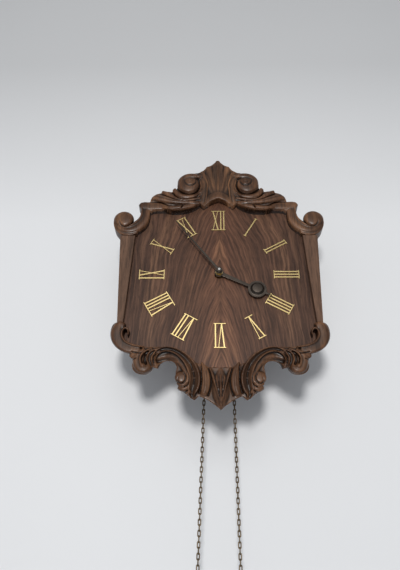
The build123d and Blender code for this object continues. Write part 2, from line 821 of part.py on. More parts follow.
hand_thick = 1.2
disc_reach = 52.0
with BuildPart() as hour_hand:
    face = upright(hour_hand_y, turn=hour_angle)
    with BuildSketch(face):
        Circle(5.8)
        with Locations((0, disc_reach)):
            Circle(11.5)
        with BuildLine():
            Polyline((-2.6, 4), (2.6, 4), (1.6, disc_reach), (-1.6, disc_reach), close=True)
        make_face()
        with BuildLine():
            Polyline((-2.2, disc_reach + 9), (2.2, disc_reach + 9), (0, disc_reach + 20), close=True)
        make_face()
        Circle(pipe_r, mode=Mode.SUBTRACT)
    extrude(amount=hand_thick)
    with BuildSketch(face.offset(hand_thick)):
        with Locations((0, disc_reach)):
            Circle(8.5)
    extrude(amount=2.8, taper=40)
save(hour_hand, "hour_hand")

with BuildPart() as minute_hand:
    face = upright(minute_hand_y, turn=minute_angle)
    with BuildSketch(face):
        Circle(4.5)
        with BuildLine():
            Polyline((-1.9, 0), (1.9, 0), (0.5, 95), (-0.5, 95), close=True)
        make_face()
        Circle(arbor_r, mode=Mode.SUBTRACT)
    extrude(amount=1.0)
save(minute_hand, "minute_hand")

with BuildPart() as hand_nut:
    with BuildSketch(upright(minute_hand_y - 1.0)):
        Circle(3.4)
        Circle(arbor_r, mode=Mode.SUBTRACT)
    extrude(amount=2.4)
save(hand_nut, "hand_nut")

# ---- chain --------------------------------------------------------------
left_exit = (-chain_r, chain_y, case_bottom_z)
right_exit = (chain_r, chain_y, case_bottom_z)
left_end = (chain_left_end_x, chain_y, chain_end_z)
right_end = (chain_right_end_x, chain_y, chain_end_z)

with BuildPart() as chain_loop:
    with BuildLine():
        Polyline((-chain_r, chain_y, case_bottom_z), (-chain_r, chain_y, hand_z + great_z))
        ThreePointArc(
            (-chain_r, chain_y, hand_z + great_z), (0, chain_y, hand_z + great_z + chain_r),
            (chain_r, chain_y, hand_z + great_z),
        )
        Line((chain_r, chain_y, hand_z + great_z), (chain_r, chain_y, case_bottom_z))
    with BuildSketch(Plane.XY.offset(case_bottom_z)):
        with Locations((-chain_r, chain_y)):
            Circle(chain_d / 2)
    sweep()
save(chain_loop, "chain_over_wheel")

for start, end, name in (
    (left_exit, left_end, "chain_weight_side"),
    (right_exit, right_end, "chain_pull_side"),
):
    run = Vector(*end) - Vector(*start)
    with BuildPart() as strand:
        with BuildSketch(Plane.XY.offset(case_bottom_z)):
            with Locations(start[:2]):
                Circle(chain_d / 2)
        extrude(amount=run.length, dir=run.normalized())
    save(strand, name)

with BuildPart() as weight_hook:
    hook_top = chain_end_z
    with BuildLine():
        Line((chain_left_end_x, chain_y, hook_top), (chain_left_end_x, chain_y, hook_top - 8))
        ThreePointArc(
            (chain_left_end_x, chain_y, hook_top - 8), (chain_left_end_x + 5, chain_y, hook_top - 18),
            (chain_left_end_x - 4.5, chain_y, hook_top - 14),
        )
    with BuildSketch(Plane.XY.offset(hook_top)):
        with Locations((chain_left_end_x, chain_y)):
            Circle(1.0)
    sweep(transition=Transition.ROUND)
save(weight_hook, "weight_hook")

ring_z = chain_end_z - 8.0
with BuildPart() as pull_ring:
    with BuildSketch(Plane.XY.offset(ring_z)):
        with Locations((chain_right_end_x + 7.8, chain_y)):
            Circle(1.2)
    revolve(axis=Axis((chain_right_end_x, chain_y, ring_z), (0, 1, 0)))
save(pull_ring, "pull_ring")
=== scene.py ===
import json
import math
import random

import bmesh
import bpy
import numpy
from mathutils import Matrix, Vector

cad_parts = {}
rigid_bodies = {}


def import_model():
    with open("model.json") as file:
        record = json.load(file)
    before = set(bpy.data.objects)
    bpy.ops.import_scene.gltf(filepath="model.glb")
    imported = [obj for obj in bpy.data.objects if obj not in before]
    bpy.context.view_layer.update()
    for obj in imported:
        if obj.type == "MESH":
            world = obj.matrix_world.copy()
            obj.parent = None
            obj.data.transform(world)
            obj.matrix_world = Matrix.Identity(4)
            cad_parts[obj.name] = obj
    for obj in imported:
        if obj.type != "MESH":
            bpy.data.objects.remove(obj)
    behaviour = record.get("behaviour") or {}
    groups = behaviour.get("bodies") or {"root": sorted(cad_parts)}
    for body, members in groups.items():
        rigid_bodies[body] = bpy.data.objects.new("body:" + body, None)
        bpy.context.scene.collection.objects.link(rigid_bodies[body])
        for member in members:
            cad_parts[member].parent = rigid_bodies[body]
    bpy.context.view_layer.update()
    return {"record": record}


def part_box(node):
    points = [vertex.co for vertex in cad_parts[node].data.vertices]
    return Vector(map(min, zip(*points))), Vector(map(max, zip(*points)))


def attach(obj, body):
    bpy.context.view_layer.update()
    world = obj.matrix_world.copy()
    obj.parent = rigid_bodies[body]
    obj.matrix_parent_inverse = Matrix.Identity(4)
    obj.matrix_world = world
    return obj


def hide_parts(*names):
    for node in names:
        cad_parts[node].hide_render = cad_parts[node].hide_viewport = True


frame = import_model()
mm = 0.001
arborLow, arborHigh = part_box("centre_arbor")
handAxis = Vector(((arborLow.x + arborHigh.x) / 2, 0, (arborLow.z + arborHigh.z) / 2))
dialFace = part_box("dial_panel")[0].y
print("frame loaded")


# camera, wall and light
viewpoint = {
    "offset": Vector((-14.2, -585.2, -362.1)) * mm,  # from the hand axis on the dial's face
    "toward": Vector((-0.0140, 0.8600, 0.5101)),
    "up": Vector((0.0011, -0.5102, 0.8601)),
    "lens": 34.74,
    "sensor": 36.0,
}
dialCentre = Vector((handAxis.x, dialFace, handAxis.z))


def aimed(place, toward, up):
    back = -toward.normalized()
    side = up.cross(back).normalized()
    over = back.cross(side)
    turn = Matrix((side, over, back)).transposed().to_4x4()
    return Matrix.Translation(place) @ turn


cameraData = bpy.data.cameras.new("camera")
cameraData.lens = viewpoint["lens"]
cameraData.sensor_width = viewpoint["sensor"]
cameraData.clip_start = 0.01
camera = bpy.data.objects.new("camera", cameraData)
bpy.context.collection.objects.link(camera)
camera.matrix_world = aimed(dialCentre + viewpoint["offset"], viewpoint["toward"], viewpoint["up"])
bpy.context.scene.camera = camera

lamps = {
    "key": {"place": (-0.10, -1.95, -0.12), "size": 0.36, "watts": 22.3, "tint": (1.0, 0.975, 0.94)},
    "soft": {"place": (-0.05, -1.55, 0.50), "size": 0.8, "watts": 2.2, "tint": (1.0, 0.99, 0.97)},
}
for lampName, lamp in lamps.items():
    lampData = bpy.data.lights.new(lampName, "AREA")
    lampData.shape = "DISK"
    lampData.size = lamp["size"]
    lampData.energy = lamp["watts"]
    lampData.color = lamp["tint"]
    lampObject = bpy.data.objects.new(lampName, lampData)
    bpy.context.collection.objects.link(lampObject)
    lampPlace = Vector(lamp["place"])
    lampObject.matrix_world = aimed(lampPlace, dialCentre - lampPlace, Vector((0, 0, 1)))

scene = bpy.context.scene
scene.view_settings.view_transform = "Standard"
world = bpy.data.worlds.new("room")
scene.world = world
world.use_nodes = True
roomLight = world.node_tree.nodes["Background"]
roomLight.inputs["Color"].default_value = (0.88, 0.89, 0.90, 1)
roomLight.inputs["Strength"].default_value = 0.42


# node helpers
def newMaterial(name, roughness=0.5, metallic=0.0):
    material = bpy.data.materials.new(name)
    material.use_nodes = True
    tree = material.node_tree
    shader = tree.nodes["Principled BSDF"]
    shader.inputs["Roughness"].default_value = roughness
    shader.inputs["Metallic"].default_value = metallic
    return material, tree, shader


def node(tree, kind, **values):
    made = tree.nodes.new(kind)
    for key, value in values.items():
        setattr(made, key, value)
    return made


def link(tree, source, target):
    tree.links.new(source, target)


def coordinates(tree, scale=(1, 1, 1), turn=(0, 0, 0), place=(0, 0, 0)):
    place3 = node(tree, "ShaderNodeTexCoord")
    mapping = node(tree, "ShaderNodeMapping")
    mapping.inputs["Scale"].default_value = scale
    mapping.inputs["Rotation"].default_value = turn
    mapping.inputs["Location"].default_value = place
    link(tree, place3.outputs["Object"], mapping.inputs["Vector"])
    return mapping.outputs["Vector"]


def noise(tree, vector, scale, detail=4.0, rough=0.5, distortion=0.0):
    made = node(tree, "ShaderNodeTexNoise")
    made.inputs["Scale"].default_value = scale
    made.inputs["Detail"].default_value = detail
    made.inputs["Roughness"].default_value = rough
    made.inputs["Distortion"].default_value = distortion
    link(tree, vector, made.inputs["Vector"])
    return made.outputs["Fac"]


def ramp(tree, value, stops):
    made = node(tree, "ShaderNodeValToRGB")
    band = made.color_ramp
    while len(band.elements) < len(stops):
        band.elements.new(0.5)
    for element, (place, colour) in zip(band.elements, stops):
        element.position = place
        element.color = (*colour, 1) if len(colour) == 3 else colour
    link(tree, value, made.inputs["Fac"])
    return made.outputs["Color"]


def blendColours(tree, how, share, first, second):
    made = node(tree, "ShaderNodeMix", data_type="RGBA", blend_type=how)
    if isinstance(share, float):
        made.inputs["Factor"].default_value = share
    else:
        link(tree, share, made.inputs["Factor"])
    for socket, value in ((made.inputs["A"], first), (made.inputs["B"], second)):
        if isinstance(value, tuple):
            socket.default_value = (*value, 1)
        else:
            link(tree, value, socket)
    return made.outputs["Result"]


def arithmetic(tree, operation, first, second=None):
    made = node(tree, "ShaderNodeMath", operation=operation)
    for socket, value in zip(made.inputs, (first, second)):
        if value is None:
            continue
        if isinstance(value, (int, float)):
            socket.default_value = value
        else:
            link(tree, value, socket)
    return made.outputs["Value"]


def bump(tree, shader, height, strength, distance):
    made = node(tree, "ShaderNodeBump")
    made.inputs["Strength"].default_value = strength
    made.inputs["Distance"].default_value = distance
    link(tree, height, made.inputs["Height"])
    link(tree, made.outputs["Normal"], shader.inputs["Normal"])


# oak: long pores and a slower figure, along one axis
def oakMaterial(name, along, colours, roughness, poreDark, figure=9.0):
    material, tree, shader = newMaterial(name, roughness)
    stretch = {"x": (0.07, 1, 1), "y": (1, 0.07, 1), "z": (1, 1, 0.07)}[along]
    long = node(tree, "ShaderNodeMapping")
    long.inputs["Scale"].default_value = stretch
    link(tree, coordinates(tree), long.inputs["Vector"])
    grain = long.outputs["Vector"]
    slow = noise(tree, grain, figure, 5, 0.55, 0.9)
    fine = noise(tree, grain, 230, 3, 0.6, 0.25)
    pores = noise(tree, grain, 900, 2, 0.65, 0.1)
    tone = ramp(tree, slow, [(0.30, colours[0]), (0.5, colours[1]), (0.72, colours[2])])
    streaks = ramp(tree, fine, [(0.35, (0.60, 0.58, 0.56)), (0.62, (1.12, 1.12, 1.12))])
    mixed = blendColours(tree, "MULTIPLY", 0.85, tone, streaks)
    poreMask = ramp(tree, pores, [(0.38, (poreDark, poreDark, poreDark)), (0.5, (1, 1, 1))])
    mixed = blendColours(tree, "MULTIPLY", 0.8, mixed, poreMask)
    return material, tree, shader, mixed, fine, slow


veneer = {
    "edge": (0.058, 0.029, 0.020),
    "middle": (0.098, 0.050, 0.033),
    "heart": (0.165, 0.090, 0.056),
    "roughness": 0.46,
    "seamShift": 1.2,
    "flameReach": 72.0,
    "flameSlope": 0.34,
}


def dialVeneer():
    material, tree, shader = newMaterial("dialVeneer", veneer["roughness"])
    shader.inputs["Specular IOR Level"].default_value = 0.22
    split = node(tree, "ShaderNodeSeparateXYZ")
    middle = (-handAxis.x - veneer["seamShift"] * mm, 0, -handAxis.z)
    link(tree, coordinates(tree, place=middle), split.inputs["Vector"])
    # the two leaves are opened like a book about the centre seam
    away = arithmetic(tree, "ABSOLUTE", split.outputs["X"])
    # the figure slopes beside the seam and runs upright further out
    reach = arithmetic(tree, "DIVIDE", away, veneer["flameReach"] * mm)
    fall = arithmetic(tree, "POWER", 2.718,
                      arithmetic(tree, "MULTIPLY", arithmetic(tree, "MULTIPLY", reach, reach), -1.0))
    slope = arithmetic(tree, "MULTIPLY", arithmetic(tree, "MULTIPLY", fall, veneer["flameSlope"]),
                       split.outputs["Z"])
    wander = arithmetic(tree, "MULTIPLY", noise(tree, coordinates(tree), 16, 2, 0.5), 15 * mm)
    across = arithmetic(tree, "ADD", arithmetic(tree, "ADD", away, slope), wander)
    sheet = node(tree, "ShaderNodeCombineXYZ")
    link(tree, across, sheet.inputs["X"])
    link(tree, split.outputs["Y"], sheet.inputs["Y"])
    link(tree, arithmetic(tree, "MULTIPLY", split.outputs["Z"], 0.07), sheet.inputs["Z"])
    grain = sheet.outputs["Vector"]
    slow = noise(tree, grain, 46, 4, 0.6, 1.1)
    rings = node(tree, "ShaderNodeTexWave", wave_type="BANDS", bands_direction="X")
    rings.inputs["Scale"].default_value = 62.0
    rings.inputs["Distortion"].default_value = 5.5
    rings.inputs["Detail"].default_value = 3.0
    rings.inputs["Detail Scale"].default_value = 1.6
    link(tree, grain, rings.inputs["Vector"])
    fine = noise(tree, grain, 330, 3, 0.65, 0.3)
    pores = noise(tree, grain, 1000, 2, 0.6, 0.1)
    tone = ramp(tree, slow, [(0.32, veneer["edge"]), (0.52, veneer["middle"]), (0.70, veneer["heart"])])
    flame = ramp(tree, rings.outputs["Fac"], [(0.2, (0.80, 0.77, 0.75)), (0.8, (1.10, 1.08, 1.05))])
    tone = blendColours(tree, "MULTIPLY", 0.9, tone, flame)
    streaks = ramp(tree, fine, [(0.36, (0.48, 0.45, 0.43)), (0.60, (1.18, 1.16, 1.13))])
    tone = blendColours(tree, "MULTIPLY", 0.9, tone, streaks)
    dashes = ramp(tree, pores, [(0.36, (0.5, 0.47, 0.46)), (0.46, (1, 1, 1))])
    tone = blendColours(tree, "MULTIPLY", 0.8, tone, dashes)
    share = arithmetic(tree, "DIVIDE", away, 95 * mm)
    warm = ramp(tree, share, [(0.0, (1.62, 1.48, 1.34)), (0.3, (1.10, 1.04, 0.96)),
                              (1.0, (0.84, 0.84, 0.84))])
    tone = blendColours(tree, "MULTIPLY", 1.0, tone, warm)
    seam = ramp(tree, away, [(0.0, (0.55, 0.55, 0.55)), (0.0005, (1, 1, 1))])
    tone = blendColours(tree, "MULTIPLY", 0.8, tone, seam)
    link(tree, tone, shader.inputs["Base Color"])
    bump(tree, shader, fine, 0.3, 0.0004)
    return material


carvedTones = {
    "dark": (0.044, 0.020, 0.010),
    "middle": (0.082, 0.040, 0.021),
    "light": (0.140, 0.073, 0.038),
    "roughness": 0.40,
    "paintedShadeGain": 0.68,
}


def carvedOak(name="carvedOak", along="z"):
    colours = (carvedTones["dark"], carvedTones["middle"], carvedTones["light"])
    material, tree, shader, mixed, fine, slow = oakMaterial(
        name, along, colours, carvedTones["roughness"], 0.5, figure=38.0
    )
    hollow = node(tree, "ShaderNodeAttribute", attribute_name="hollow")
    # painted shade and painted highlight: the hollows are darkened, part wax stain and part painted shade,
    # and the ridges are lightened, part wear and part painted highlight
    depth = arithmetic(tree, "MULTIPLY_ADD", hollow.outputs["Fac"], -carvedTones["paintedShadeGain"])
    depth.node.inputs[2].default_value = 0.5
    shadeAndRidgeSheen = ramp(tree, depth, [(0.10, (0.22, 0.19, 0.17)), (0.5, (1.02, 1.0, 0.97)),
                               (0.8, (1.62, 1.54, 1.44))])
    mixed = blendColours(tree, "MULTIPLY", 1.0, mixed, shadeAndRidgeSheen)
    patches = ramp(tree, noise(tree, coordinates(tree), 24, 3, 0.55, 0.6),
                   [(0.36, (0.66, 0.64, 0.63)), (0.66, (1.12, 1.1, 1.08))])
    mixed = blendColours(tree, "MULTIPLY", 1.0, mixed, patches)
    link(tree, mixed, shader.inputs["Base Color"])
    gloss = ramp(tree, slow, [(0.3, (0.34, 0.34, 0.34)), (0.7, (0.5, 0.5, 0.5))])
    link(tree, gloss, shader.inputs["Roughness"])
    shader.inputs["Specular IOR Level"].default_value = 0.28
    shader.inputs["Coat Weight"].default_value = 0.10
    shader.inputs["Coat Roughness"].default_value = 0.2
    bump(tree, shader, fine, 0.25, 0.0006)
    return material


def caseWood(name, along, colours=((0.10, 0.055, 0.030), (0.16, 0.092, 0.050), (0.24, 0.145, 0.080))):
    material, tree, shader, mixed, fine, _ = oakMaterial(name, along, colours, 0.6, 0.55, figure=20.0)
    link(tree, mixed, shader.inputs["Base Color"])
    shader.inputs["Specular IOR Level"].default_value = 0.25
    bump(tree, shader, fine, 0.3, 0.0006)
    return material


def metal(name, colour, roughness, spread=0.10, tarnish=(0.5, 0.42, 0.3), grainScale=60.0,
          stretch=(1, 1, 1), dull=0.35):
    material, tree, shader = newMaterial(name, roughness, 1.0)
    vector = coordinates(tree, scale=stretch)
    cloud = noise(tree, vector, grainScale, 5, 0.6)
    mottled = ramp(tree, cloud, [(0.35, tuple(c * t for c, t in zip(colour, tarnish))), (0.6, colour)])
    link(tree, blendColours(tree, "MIX", dull, colour, mottled), shader.inputs["Base Color"])
    fineGrain = noise(tree, vector, grainScale * 14, 3, 0.6)
    low, high = roughness - spread / 2, roughness + spread
    link(tree, ramp(tree, fineGrain, [(0.3, (low, low, low)), (0.7, (high, high, high))]),
         shader.inputs["Roughness"])
    bump(tree, shader, fineGrain, 0.12, 0.0002)
    return material


finishes = {
    "dialVeneer": dialVeneer(),
    "carvedOak": carvedOak(),
    "pilasterOak": caseWood("pilasterOak", "z",
                            ((0.062, 0.032, 0.020), (0.108, 0.058, 0.036), (0.170, 0.094, 0.060))),
    "boardUp": caseWood("caseWoodUpright", "z"),
    "boardAcross": caseWood("caseWoodAcross", "x"),
    "numeralBrass": metal("numeralBrass", (0.70, 0.55, 0.26), 0.27, 0.08, (0.8, 0.72, 0.55), 90.0,
                          dull=0.3),
    "handBronze": metal("handBronze", (0.066, 0.055, 0.047), 0.38, 0.12, (0.5, 0.47, 0.45), 140.0),
    "movementBrass": metal("movementBrass", (0.74, 0.55, 0.25), 0.34, 0.14, (0.6, 0.5, 0.4), 40.0),
    "chainBrass": metal("chainBrass", (0.17, 0.13, 0.085), 0.36, 0.2, (0.35, 0.3, 0.28), 160.0, dull=0.6),
    "steel": metal("drawnSteel", (0.50, 0.50, 0.49), 0.33, 0.15, (0.55, 0.52, 0.5), 90.0),
    "bobBrass": metal("bobBrass", (0.72, 0.54, 0.26), 0.28, 0.12, (0.6, 0.5, 0.4), 50.0),
}
print("materials made")


# stage: a pale wall that only shows its front, and a floor well below
def stageSurfaces():
    material, tree, shader = newMaterial("paleWall", 0.75)
    here = coordinates(tree)
    tone = ramp(tree, noise(tree, here, 1.3, 3, 0.5),
                [(0.3, (0.715, 0.735, 0.765)), (0.7, (0.75, 0.77, 0.80))])
    split = node(tree, "ShaderNodeSeparateXYZ")
    link(tree, here, split.inputs["Vector"])
    # painted shade: the wall darkens towards the top
    paintedShadeTowardTop = ramp(tree, split.outputs["Z"], [(0.06, (1, 1, 1)), (0.42, (0.72, 0.72, 0.72))])
    tone = blendColours(tree, "MULTIPLY", 1.0, tone, paintedShadeTowardTop)
    link(tree, tone, shader.inputs["Base Color"])
    facing = node(tree, "ShaderNodeNewGeometry")
    clear = node(tree, "ShaderNodeBsdfTransparent")
    chooser = node(tree, "ShaderNodeMixShader")
    output = tree.nodes["Material Output"]
    link(tree, facing.outputs["Backfacing"], chooser.inputs["Fac"])
    link(tree, shader.outputs["BSDF"], chooser.inputs[1])
    link(tree, clear.outputs["BSDF"], chooser.inputs[2])
    link(tree, chooser.outputs["Shader"], output.inputs["Surface"])
    bpy.ops.object.select_all(action="DESELECT")
    work = bmesh.new()
    caseLow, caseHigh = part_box("back_board")
    across = (-3, caseLow.x + 2 * mm, caseHigh.x - 2 * mm, 3)
    upward = (-2, caseLow.z + 2 * mm, caseHigh.z - 2 * mm, 4)
    grid = [[work.verts.new((x, 0.6 * mm, z)) for x in across] for z in upward]
    for row in range(3):
        for column in range(3):
            if (row, column) == (1, 1):  # open behind the case, so that its back is lit
                continue
            work.faces.new((grid[row][column], grid[row][column + 1], grid[row + 1][column + 1],
                            grid[row + 1][column]))
    wall = meshObject("wall", work)
    bpy.ops.mesh.primitive_plane_add(size=6, location=(0, -2.4, -1.4))
    floor = bpy.context.object
    floor.name = "floor"
    for surface in (wall, floor):
        surface.data.materials.append(material)



# mesh helpers
def activate(piece):
    bpy.ops.object.select_all(action="DESELECT")
    piece.select_set(True)
    bpy.context.view_layer.objects.active = piece


def applyAll(piece):
    activate(piece)
    for modifier in list(piece.modifiers):
        bpy.ops.object.modifier_apply(modifier=modifier.name)


def meshObject(name, work):
    mesh = bpy.data.meshes.new(name)
    work.to_mesh(mesh)
    work.free()
    piece = bpy.data.objects.new(name, mesh)
    bpy.context.collection.objects.link(piece)
    return piece


stageSurfaces()
print("stage made")


def smoothRoute(points, steps):
    # Catmull-Rom through the given points, every channel alike
    padded = [points[0], *points, points[-1]]
    out = []
    for k in range(1, len(padded) - 2):
        p0, p1, p2, p3 = (padded[k + j] for j in (-1, 0, 1, 2))
        for s in range(steps):
            t = s / steps
            out.append(tuple(
                0.5 * ((2 * b) + (c - a) * t + (2 * a - 5 * b + 4 * c - d) * t * t
                       + (3 * b - a - 3 * c + d) * t ** 3)
                for a, b, c, d in zip(p0, p1, p2, p3)
            ))
    out.append(tuple(points[-1]))
    return out


sections = {  # across the band from its left edge to its right, share of the band's height
    "round": [(-1, 0.25), (-0.96, 0.5), (-0.84, 0.73), (-0.6, 0.91), (-0.3, 0.985), (0, 1), (0.3, 0.985),
              (0.6, 0.91), (0.84, 0.73), (0.96, 0.5), (1, 0.25)],
    "soft": [(-1, 0.3), (-0.97, 0.62), (-0.88, 0.84), (-0.7, 0.95), (-0.4, 0.99), (0, 1), (0.4, 0.99),
             (0.7, 0.95), (0.88, 0.84), (0.97, 0.62), (1, 0.3)],
    "cove": [(-1, 0.5), (-0.97, 0.8), (-0.88, 0.97), (-0.76, 1), (-0.64, 0.93), (-0.4, 0.78), (0, 0.68),
             (0.4, 0.74), (0.64, 0.9), (0.76, 1), (0.88, 0.97), (0.97, 0.8), (1, 0.5)],
    "rightRim": [(-1, 0.25), (-0.94, 0.48), (-0.8, 0.68), (-0.5, 0.82), (-0.1, 0.88), (0.3, 0.86),
                 (0.58, 0.86), (0.72, 0.98), (0.86, 1), (0.96, 0.85), (1, 0.5)],
    "hood": [(-1, 0.35), (-0.9, 0.55), (-0.7, 0.72), (-0.4, 0.86), (0, 0.95), (0.4, 1), (0.8, 1),
             (0.95, 0.97), (1, 0.86)],
    "leaf": [(-1, 0.4), (-0.95, 0.7), (-0.82, 0.86), (-0.5, 0.9), (-0.2, 0.92), (0, 1), (0.2, 0.92),
             (0.5, 0.9), (0.82, 0.86), (0.95, 0.7), (1, 0.4)],
}


def bandSolid(name, route, section, foot, side=1, lean=0.0, steps=8):
    # a closed band along route points (x, z, half width, height), all in millimetres from the hand axis;
    # lean draws its walls up towards the back
    stations = smoothRoute(route, steps)
    work = bmesh.new()
    rings = []
    for k, (x, z, half, high) in enumerate(stations):
        before, after = stations[max(k - 1, 0)], stations[min(k + 1, len(stations) - 1)]
        along = Vector((after[0] - before[0], after[1] - before[1]))
        along.normalize()
        across = Vector((along.y, -along.x))  # to the right of the way the band runs
        ring = []
        for u, share in [(sections[section][0][0], None), *sections[section],
                         (sections[section][-1][0], None)]:
            level = foot if share is None else high * share
            px, pz = x + across.x * half * u, z + across.y * half * u + lean * (12 - level)
            ring.append(work.verts.new((handAxis.x + side * px * mm, dialFace - level * mm,
                                        handAxis.z + pz * mm)))
        rings.append(ring)
    for first, second in zip(rings, rings[1:]):
        count = len(first)
        for k in range(count):
            work.faces.new((first[k], first[(k + 1) % count], second[(k + 1) % count], second[k]))
    work.faces.new(rings[0])
    work.faces.new(rings[-1])
    bmesh.ops.recalc_face_normals(work, faces=work.faces)
    return meshObject(name, work)


def domeSolid(name, x, z, radius, high, foot, side=1, lean=0.0):
    # a boss: a cylinder with a domed top
    work = bmesh.new()
    rings = []
    turns = 36
    profile = [(1, foot), (1, high * 0.5), (0.96, high * 0.72), (0.84, high * 0.88), (0.62, high * 0.955),
               (0.35, high * 0.99), (0.1, high)]
    for share, level in profile:
        rings.append([
            work.verts.new((
                handAxis.x + side * (x + radius * share * math.cos(a)) * mm, dialFace - level * mm,
                handAxis.z + (z + radius * share * math.sin(a) + lean * (12 - level)) * mm,
            ))
            for a in (2 * math.pi * k / turns for k in range(turns))
        ])
    for first, second in zip(rings, rings[1:]):
        for k in range(turns):
            work.faces.new((first[k], first[(k + 1) % turns], second[(k + 1) % turns], second[k]))
    work.faces.new(rings[0])
    work.faces.new(rings[-1])
    bmesh.ops.recalc_face_normals(work, faces=work.faces)
    return meshObject(name, work)


sunken = {
    "over": 1.0,  # how far above the ground a point may lie and still drop, in millimetres
    "lowest": -4.0,
    "behind": 2.0,
}


def sinkOpening(piece, outline, ground, lean):
    # where the carving is cut away over the dial, its ground drops behind the dial face
    places, _ = meshArrays(piece)
    level = (dialFace - places[:, 1]) / mm
    x = -numpy.abs(places[:, 0] - handAxis.x) / mm
    z = (places[:, 2] - handAxis.z) / mm - lean * (12 - level)
    inside = numpy.zeros(len(places), dtype=bool)
    for (ax, az), (bx, bz) in zip(outline, [*outline[1:], outline[0]]):
        if az == bz:
            continue
        crossed = (az > z) != (bz > z)
        inside ^= crossed & (x < (bx - ax) * (z - az) / (bz - az) + ax)
    low = inside & (level < ground + sunken["over"]) & (level > sunken["lowest"])
    places[low, 1] = dialFace + sunken["behind"] * mm
    piece.data.vertices.foreach_set("co", places.ravel())
    piece.data.update()


def groundBlock(node, level, lean):
    # the carving's ground: the CAD outline, planed down to a level above the dial
    source = bpy.data.objects[node]
    work = bmesh.new()
    work.from_mesh(source.data)
    bmesh.ops.remove_doubles(work, verts=work.verts, dist=1e-6)
    cut = Vector((0, dialFace - level * mm, 0))
    bmesh.ops.bisect_plane(
        work, geom=[*work.verts, *work.edges, *work.faces], plane_co=cut, plane_no=(0, -1, 0),
        clear_outer=True
    )
    rim = [edge for edge in work.edges if edge.is_boundary]
    bmesh.ops.holes_fill(work, edges=rim, sides=0)
    bmesh.ops.triangulate(work, faces=work.faces)
    bmesh.ops.recalc_face_normals(work, faces=work.faces)
    for vertex in work.verts:
        vertex.co.z += lean * (12 * mm - (dialFace - vertex.co.y))
    return meshObject(node + "Ground", work)


def fuse(name, solids, voxel, smoothing):
    activate(solids[0])
    for solid in solids:
        solid.select_set(True)
    bpy.ops.object.join()
    piece = bpy.context.object
    piece.name = name
    piece.data.name = name
    remesh = piece.modifiers.new("fuse", "REMESH")
    remesh.mode = "VOXEL"
    remesh.voxel_size = voxel
    remesh.adaptivity = 0.0
    soften = piece.modifiers.new("soften", "SMOOTH")
    soften.factor = 0.5
    soften.iterations = smoothing
    applyAll(piece)
    bpy.ops.object.shade_smooth()
    return piece


def meshArrays(piece):
    mesh = piece.data
    places = numpy.empty(len(mesh.vertices) * 3)
    mesh.vertices.foreach_get("co", places)
    edges = numpy.empty(len(mesh.edges) * 2, dtype=int)
    mesh.edges.foreach_get("vertices", edges)
    return places.reshape(-1, 3), edges.reshape(-1, 2)


def relaxed(values, edges, rounds):
    # every value moves halfway to the mean of its neighbours, again and again
    count = numpy.zeros(len(values))
    numpy.add.at(count, edges[:, 0], 1)
    numpy.add.at(count, edges[:, 1], 1)
    count = numpy.maximum(count, 1).reshape(-1, *[1] * (values.ndim - 1))
    for _ in range(rounds):
        total = numpy.zeros_like(values)
        numpy.add.at(total, edges[:, 0], values[edges[:, 1]])
        numpy.add.at(total, edges[:, 1], values[edges[:, 0]])
        values = 0.5 * values + 0.5 * total / count
    return values


def pressGrooves(piece, grooves):
    # gouge cuts: routes of x, z, half width, depth, pressed into both halves alike
    places, _ = meshArrays(piece)
    x = numpy.abs(places[:, 0] - handAxis.x) / mm
    z = (places[:, 2] - handAxis.z) / mm
    front = places[:, 1] < dialFace - 3.0 * mm
    deepest = numpy.zeros(len(places))
    for route in grooves:
        stations = numpy.array(smoothRoute(route, 8))
        stations[:, 0] = numpy.abs(stations[:, 0])
        for first, second in zip(stations, stations[1:]):
            run = second[:2] - first[:2]
            share = ((x - first[0]) * run[0] + (z - first[1]) * run[1]) / max(run @ run, 1e-9)
            share = numpy.clip(share, 0, 1)
            away = numpy.hypot(x - first[0] - share * run[0], z - first[1] - share * run[1])
            half = first[2] + share * (second[2] - first[2])
            depth = first[3] + share * (second[3] - first[3])
            cut = depth * numpy.clip(1 - (away / half) ** 2, 0, 1) ** 1.5
            deepest = numpy.maximum(deepest, cut)
    places[front, 1] += deepest[front] * mm
    piece.data.vertices.foreach_set("co", places.ravel())
    piece.data.update()


def paintShadeAttribute(piece, rounds=10):
    # how far the surface lies below its own smoothed copy, as an attribute for the painted shade in hollows
    # and the painted highlight on ridges
    places, edges = meshArrays(piece)
    normals = numpy.empty(len(places) * 3)
    piece.data.vertices.foreach_get("normal", normals)
    normals = normals.reshape(-1, 3)
    near = ((relaxed(places, edges, rounds) - places) * normals).sum(axis=1)
    wide = ((relaxed(places, edges, rounds * 6) - places) * normals).sum(axis=1)
    hollow = relaxed((near * 1.2 + wide * 0.5) / mm, edges, 2)
    layer = piece.data.attributes.new("hollow", "FLOAT", "POINT")
    layer.data.foreach_set("value", hollow)


def finishPiece(piece, finish, body="case", replaced=()):
    piece.data.materials.clear()
    piece.data.materials.append(finishes[finish])
    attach(piece, body)
    if replaced:
        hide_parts(*replaced)


# the chains: brass wire links, and the points that each strand follows
chain = {
    "wire": 1.35 * mm,
    "width": 4.0 * mm,
    "pitch": 5.4 * mm,
    "sides": 5,
    "bends": 5,
    "twist": 9,  # degrees that a link may lie off its quarter turn
}
sprocket = {"x": 0.0, "y": -0.035, "z": -0.104, "radius": 0.01575}
strands = {
    "chainWeightSide": [(-0.01575, -0.035, -0.140), (-0.0188, -0.035, -0.232), (-0.0219, -0.035, -0.324),
                        (-0.025, -0.035, -0.416)],
    "chainPullSide": [(0.01575, -0.035, -0.140), (0.01683, -0.035, -0.232), (0.01792, -0.035, -0.324),
                      (0.019, -0.035, -0.416)],
}


def linkRing():
    # the line of one link, long way up, as two half rounds and the straights between them
    radius = (chain["width"] - chain["wire"]) / 2
    half = (chain["pitch"] + chain["wire"]) / 2 - radius
    line = []
    for end, start in ((half, 0.0), (-half, math.pi)):
        for k in range(chain["bends"] + 1):
            turn = start + math.pi * k / chain["bends"]
            line.append(Vector((radius * math.cos(turn), 0, end + radius * math.sin(turn))))
    return line


